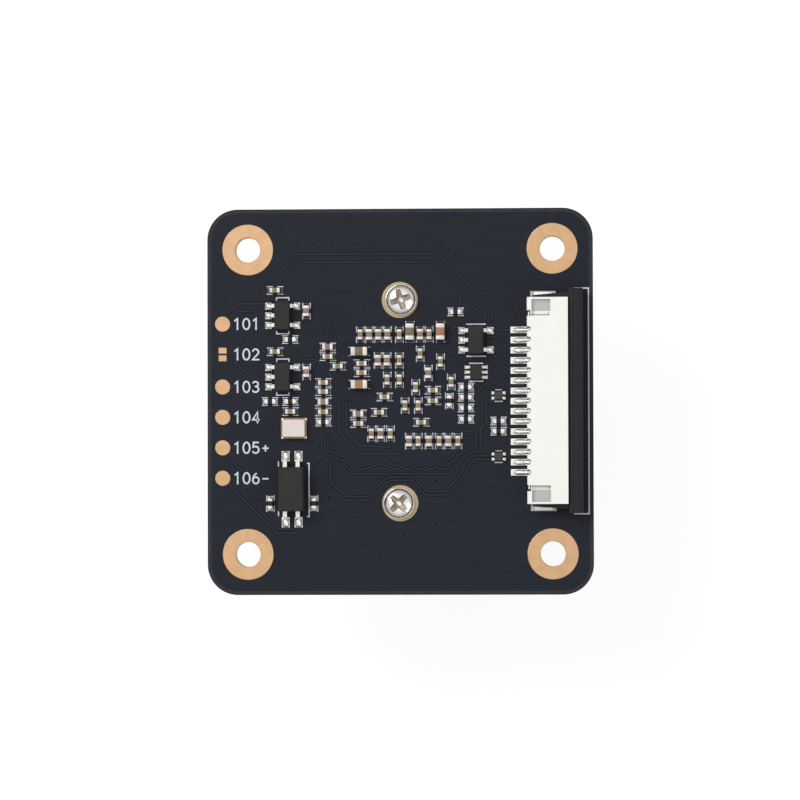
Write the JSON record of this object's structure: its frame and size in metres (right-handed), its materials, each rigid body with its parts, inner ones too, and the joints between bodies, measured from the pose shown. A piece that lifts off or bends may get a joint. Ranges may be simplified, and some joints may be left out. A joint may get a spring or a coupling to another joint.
{
  "type": "camera module",
  "caption": "Square camera circuit board with a ribbon connector and small parts on its back, and a screw-in focusing lens in a holder on its front.",
  "frame": {"origin": "on the optical axis, level with the front rim of the lens on which the module stands", "axes": "+Z along the optical axis from the lens to the back of the board, +X towards the ribbon connector"},
  "size_m": [0.038, 0.038, 0.0247],
  "materials": {
    "board_mask": "semi-gloss dark navy solder mask",
    "gold_plating": "satin gold plating",
    "solder_tin": "bright tin and solder",
    "screw_steel": "bright nickel plating",
    "connector_cream": "satin",
    "connector_black": "satin",
    "package_black": "matte epoxy",
    "anchor_metal": "matte tin plate",
    "oscillator_ceramic": "gold-edged ceramic",
    "oscillator_metal": "satin nickel",
    "filter_ferrite": "matte ferrite",
    "ceramic_tan": "matte",
    "ceramic_olive": "matte",
    "ceramic_orange": "matte",
    "ceramic_mauve": "matte",
    "ceramic_brown": "matte",
    "resistor_black": "glassy black glaze",
    "holder_black": "fine matte moulded nylon",
    "barrel_black": "black anodised",
    "lens_glass": "coated, polished",
    "filter_glass": "blue-green coated",
    "sensor_ceramic": "matte",
    "sensor_silicon": "iridescent polished silicon"
  },
  "bodies": {
    "root": {"circuit_board": "board_mask", "mounting_rings": "gold_plating", "screw_rings": "gold_plating", "signal_pads": "gold_plating", "component_pads": "solder_tin", "ribbon_housing": "connector_cream", "ribbon_contacts": "solder_tin", "ribbon_anchors": "anchor_metal", "optocoupler_body": "package_black", "optocoupler_leads": "solder_tin", "regulator_a_body": "package_black", "regulator_a_leads": "solder_tin", "regulator_b_body": "package_black", "regulator_b_leads": "solder_tin", "regulator_c_body": "package_black", "regulator_c_leads": "solder_tin", "buffer_body": "package_black", "buffer_leads": "solder_tin", "oscillator_base": "oscillator_ceramic", "oscillator_lid": "oscillator_metal", "line_filter_bodies": "filter_ferrite", "line_filter_terminals": "solder_tin", "capacitors_tan": "ceramic_tan", "capacitors_olive": "ceramic_olive", "capacitors_orange": "ceramic_orange", "capacitors_mauve": "ceramic_mauve", "capacitors_brown": "ceramic_brown", "capacitors_large_olive": "ceramic_olive", "capacitors_large_brown": "ceramic_orange", "capacitor_caps": "solder_tin", "resistors": "resistor_black", "resistor_caps": "solder_tin", "lens_holder": "holder_black", "holder_screws": "screw_steel", "infrared_filter": "filter_glass", "sensor_package": "sensor_ceramic", "sensor_die": "sensor_silicon", "sensor_window": "lens_glass"},
    "slider": {"ribbon_slider": "connector_black"},
    "lens_stack": {"lens_retainer": "barrel_black", "front_element": "lens_glass", "aperture_spacer": "barrel_black", "middle_element": "lens_glass", "rear_spacer": "barrel_black", "rear_element": "lens_glass"},
    "lens_barrel": {"lens_barrel": "barrel_black"}
  },
  "joints": [
    {"name": "slider_slide", "type": "slide", "parent": "root", "child": "slider", "axis": [1, 0, 0], "range_m": [0, 0.0012]},
    {"name": "focus_travel", "type": "slide", "parent": "root", "child": "lens_stack", "axis": [0, 0, 1], "range_m": [-0.00075, 0.0005]},
    {"name": "focus_turn", "type": "hinge", "parent": "lens_stack", "child": "lens_barrel", "pos_m": [0, 0, 0], "axis": [0, 0, 1], "range_deg": [-541, 361]}
  ],
  "couplings": [
    {"joint": "focus_turn", "follows": "focus_travel", "rad_per_m": 12566}
  ]
}
